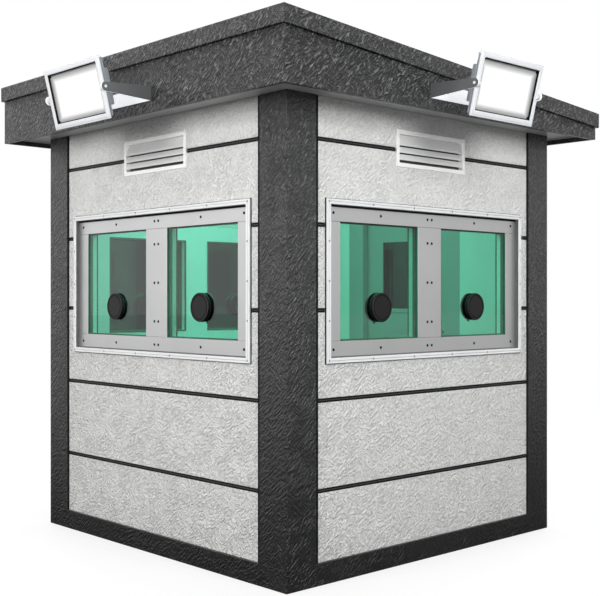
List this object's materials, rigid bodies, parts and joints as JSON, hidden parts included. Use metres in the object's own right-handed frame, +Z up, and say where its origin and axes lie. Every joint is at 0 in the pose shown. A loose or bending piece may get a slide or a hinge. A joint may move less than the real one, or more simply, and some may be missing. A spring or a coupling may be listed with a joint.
{
  "type": "security guard booth",
  "caption": "Square armoured guard booth with thick green windows, gun ports, louvred vents, a sloping roof, a hinged rear door and tilting floodlights.",
  "frame": {"origin": "on the ground under the middle of the booth", "axes": "+Z up, -Y out of the front wall, +X out of the right wall, +Y out of the back wall with the door"},
  "size_m": [2.9688, 2.9688, 2.5041],
  "materials": {
    "dark_coating": "coarse charcoal textured coating",
    "light_panel": "off-white textured coating",
    "window_rim": "satin aluminium paint",
    "cover_plate": "smooth pale grey paint",
    "armoured_glass": "thick green laminated glass",
    "door_glass": "dark tinted glass",
    "port_black": "satin black",
    "white_paint": "smooth white paint",
    "floor_plate": "worn steel plate",
    "soffit_paint": "matt pale grey paint",
    "bracket_steel": "silver grey paint",
    "lamp_metal": "cast aluminium",
    "lamp_diffuser": "frosted white glass",
    "door_hardware": "brushed steel",
    "door_paint": "charcoal paint"
  },
  "bodies": {
    "booth": {"base_frame": "dark_coating", "floor_panel": "floor_plate", "post_front_left": "dark_coating", "post_front_right": "dark_coating", "post_back_left": "dark_coating", "post_back_right": "dark_coating", "front_wall": "dark_coating", "right_wall": "dark_coating", "left_wall": "dark_coating", "back_wall_left": "dark_coating", "back_wall_right": "dark_coating", "back_wall_head": "dark_coating", "front_cladding": "light_panel", "right_cladding": "light_panel", "back_cladding": "light_panel", "left_cladding": "light_panel", "front_window_frame": "window_rim", "right_window_frame": "window_rim", "left_window_frame": "window_rim", "front_window_plates": "cover_plate", "right_window_plates": "cover_plate", "left_window_plates": "cover_plate", "front_window_glass": "armoured_glass", "right_window_glass": "armoured_glass", "left_window_glass": "armoured_glass", "front_gun_ports": "port_black", "right_gun_ports": "port_black", "left_gun_ports": "port_black", "front_vent": "white_paint", "right_vent": "white_paint", "left_vent": "white_paint", "roof_deck": "soffit_paint", "roof_fascia": "dark_coating", "roof_cap": "dark_coating", "front_lamp_bracket": "bracket_steel", "right_lamp_bracket": "bracket_steel", "back_lamp_bracket": "bracket_steel", "left_lamp_bracket": "bracket_steel", "door_frame": "door_paint", "door_hinges": "door_hardware"},
    "door": {"door_leaf": "door_paint", "door_glass": "door_glass", "door_handle": "door_hardware"},
    "front_lamp": {"front_lamp_housing": "lamp_metal", "front_lamp_glass": "lamp_diffuser"},
    "right_lamp": {"right_lamp_housing": "lamp_metal", "right_lamp_glass": "lamp_diffuser"},
    "back_lamp": {"back_lamp_housing": "lamp_metal", "back_lamp_glass": "lamp_diffuser"},
    "left_lamp": {"left_lamp_housing": "lamp_metal", "left_lamp_glass": "lamp_diffuser"}
  },
  "joints": [
    {"name": "door_swing", "type": "hinge", "parent": "booth", "child": "door", "pos_m": [-0.372, 1.012, 1], "axis": [0, 0, 1], "range_deg": [0, 100]},
    {"name": "front_lamp_tilt", "type": "hinge", "parent": "booth", "child": "front_lamp", "pos_m": [0, -1.443, 2.268], "axis": [1, 0, 0], "range_deg": [-40, 60]},
    {"name": "right_lamp_tilt", "type": "hinge", "parent": "booth", "child": "right_lamp", "pos_m": [1.443, 0, 2.268], "axis": [0, 1, 0], "range_deg": [-40, 60]},
    {"name": "back_lamp_tilt", "type": "hinge", "parent": "booth", "child": "back_lamp", "pos_m": [0, 1.443, 2.289], "axis": [-1, 0, 0], "range_deg": [-40, 60]},
    {"name": "left_lamp_tilt", "type": "hinge", "parent": "booth", "child": "left_lamp", "pos_m": [-1.443, 0, 2.268], "axis": [0, -1, 0], "range_deg": [-40, 60]}
  ]
}
